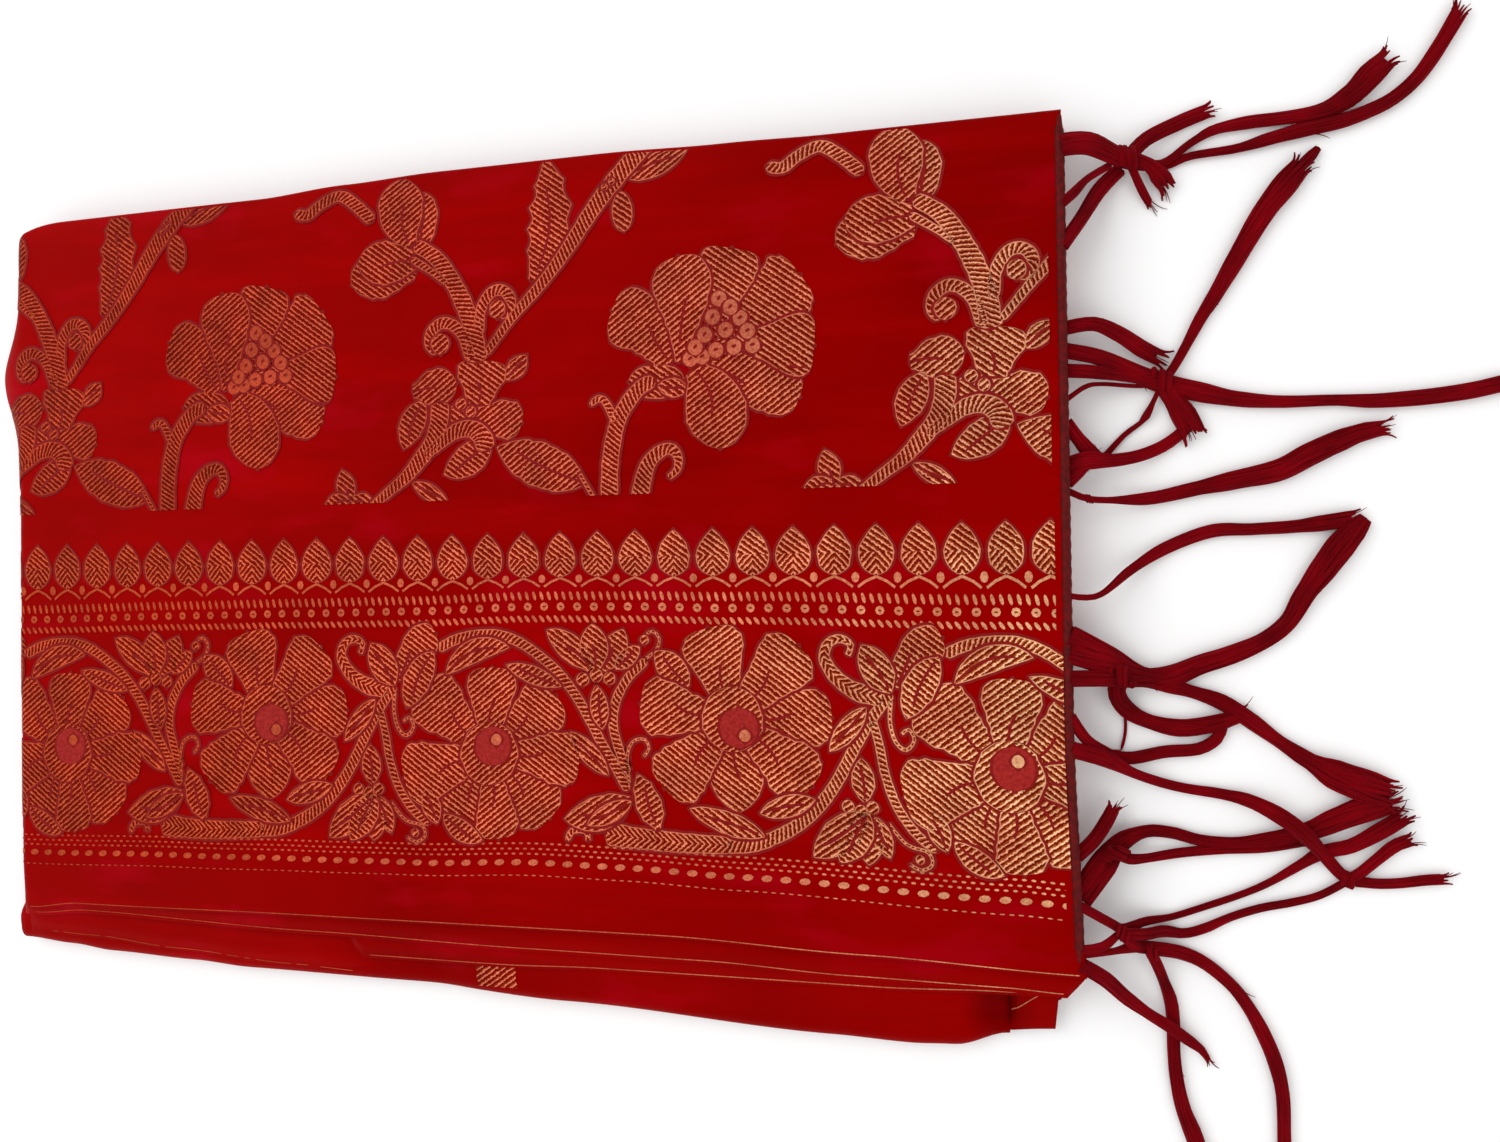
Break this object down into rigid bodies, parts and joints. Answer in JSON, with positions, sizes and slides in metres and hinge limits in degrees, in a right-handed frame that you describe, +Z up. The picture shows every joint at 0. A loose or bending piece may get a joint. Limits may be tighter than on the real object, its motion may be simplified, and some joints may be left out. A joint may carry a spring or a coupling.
{
  "type": "folded dupatta stole",
  "caption": "Long silk stole folded flat into a packet, with a brocade flower border and trellis on its face ply, stepped selvedges in front and knotted fringe at the cut ends.",
  "frame": {"origin": "middle of the face ply's rectangle, on the surface that the packet rests on", "axes": "+X along the packet towards the fringe, +Y towards the nested back folds, +Z up from the surface"},
  "size_m": [0.4356, 0.2946, 0.0146],
  "materials": {
    "silk": "plain woven silk, soft sheen, crimson",
    "zari": "gilt metal thread woven in floats, satin",
    "fringe": "loosely twisted silk yarn, maroon"
  },
  "bodies": {
    "root": {"face_ply": "silk", "selvedge_ply_1": "silk", "selvedge_ply_2": "silk", "selvedge_ply_3": "silk", "centre_fold": "silk", "turned_corner": "silk", "folded_plies": "silk", "fringe_upper": "fringe", "fringe_lower": "fringe"}
  },
  "joints": []
}
